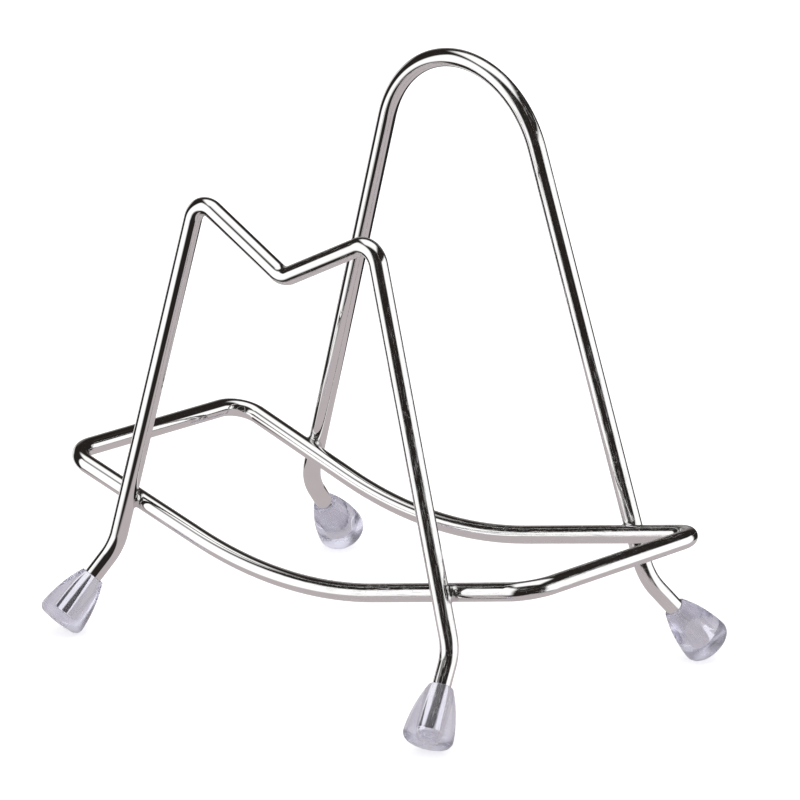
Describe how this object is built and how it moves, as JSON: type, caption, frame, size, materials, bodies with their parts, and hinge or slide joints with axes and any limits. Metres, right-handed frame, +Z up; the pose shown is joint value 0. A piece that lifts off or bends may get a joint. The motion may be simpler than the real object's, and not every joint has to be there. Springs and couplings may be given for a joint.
{
  "type": "album display stand",
  "caption": "Chrome wire stand that holds an open album or a plate upright between a notched front frame and a taller arched back frame.",
  "frame": {"origin": "on the table under the middle of the stand, at the centre of the bounding box", "axes": "+X to the right seen from the front, +Y towards the arched back frame, +Z up"},
  "size_m": [0.1784, 0.1188, 0.1607],
  "materials": {
    "chrome_wire": "bright chrome plate on bent steel wire, mirror polish",
    "weld_metal": "resistance weld bead under the same chrome plate",
    "clear_vinyl": "clear soft vinyl with a faint violet tint"
  },
  "bodies": {
    "root": {"front_frame": "chrome_wire", "back_frame": "chrome_wire", "base_ring": "chrome_wire", "weld_front_left": "weld_metal", "weld_back_left": "weld_metal", "weld_front_right": "weld_metal", "weld_back_right": "weld_metal", "foot_cap_front_left": "clear_vinyl", "foot_cap_back_left": "clear_vinyl", "foot_cap_front_right": "clear_vinyl", "foot_cap_back_right": "clear_vinyl"}
  },
  "joints": []
}
